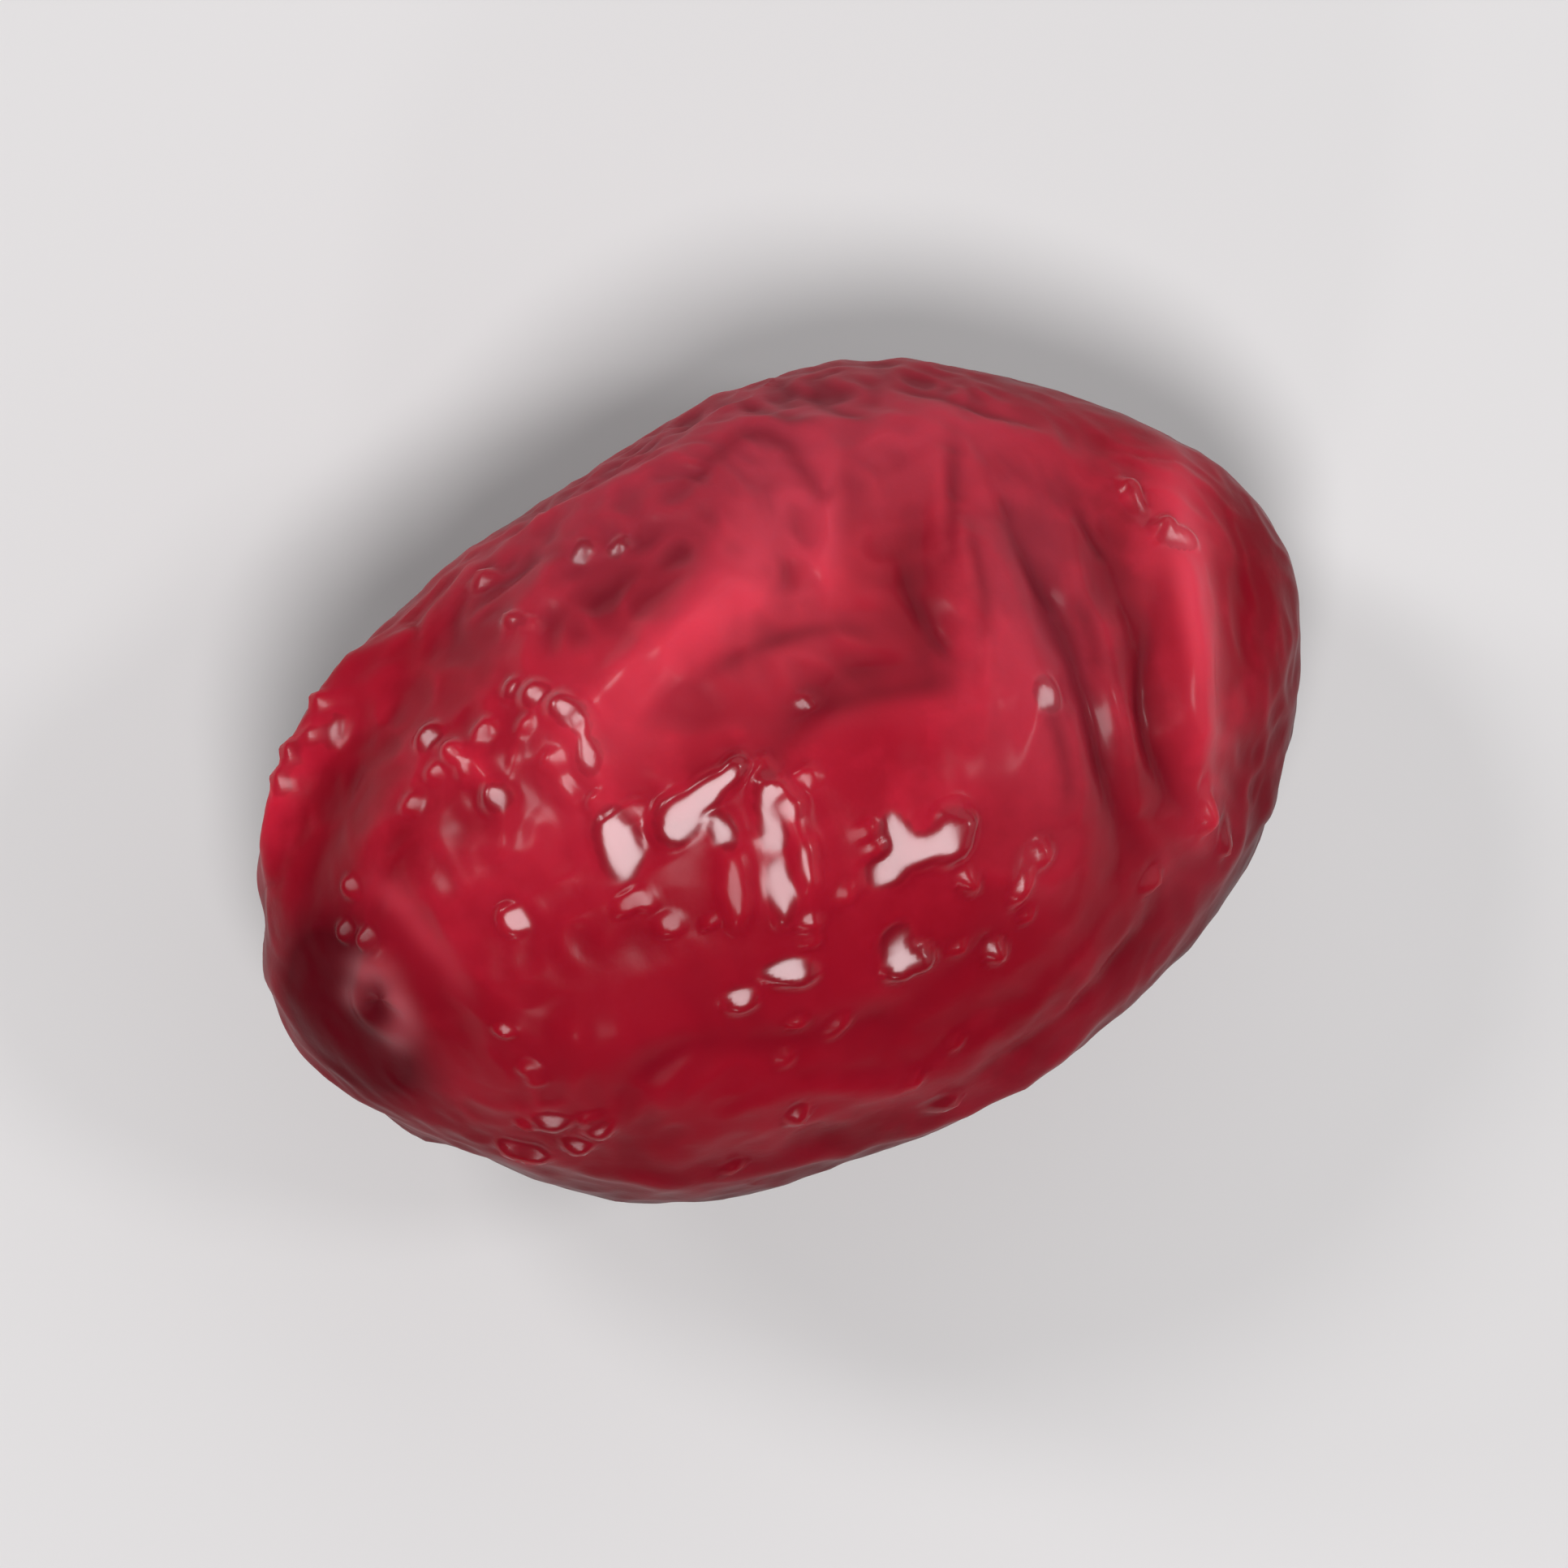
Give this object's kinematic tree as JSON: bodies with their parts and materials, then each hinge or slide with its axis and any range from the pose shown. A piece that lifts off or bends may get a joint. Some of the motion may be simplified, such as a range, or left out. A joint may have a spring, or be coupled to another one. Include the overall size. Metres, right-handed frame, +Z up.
{
  "type": "cornelian cherry",
  "caption": "Whole dried fruit lying on its side: egg-shaped, with glossy crimson skin that is folded and creased, a round flower scar at one end and a stalk pit at the other.",
  "frame": {"origin": "middle of the bounding box's base, on the flat spot under the fruit's weight", "axes": "+X along the fruit, from the end with the flower scar to the end with the stalk pit; +Z up from the surface on which it rests"},
  "size_m": [0.0176, 0.012, 0.011],
  "materials": {
    "skin": "wet gloss, crimson, partly see-through"
  },
  "bodies": {
    "root": {"fruit": "skin"}
  },
  "joints": []
}
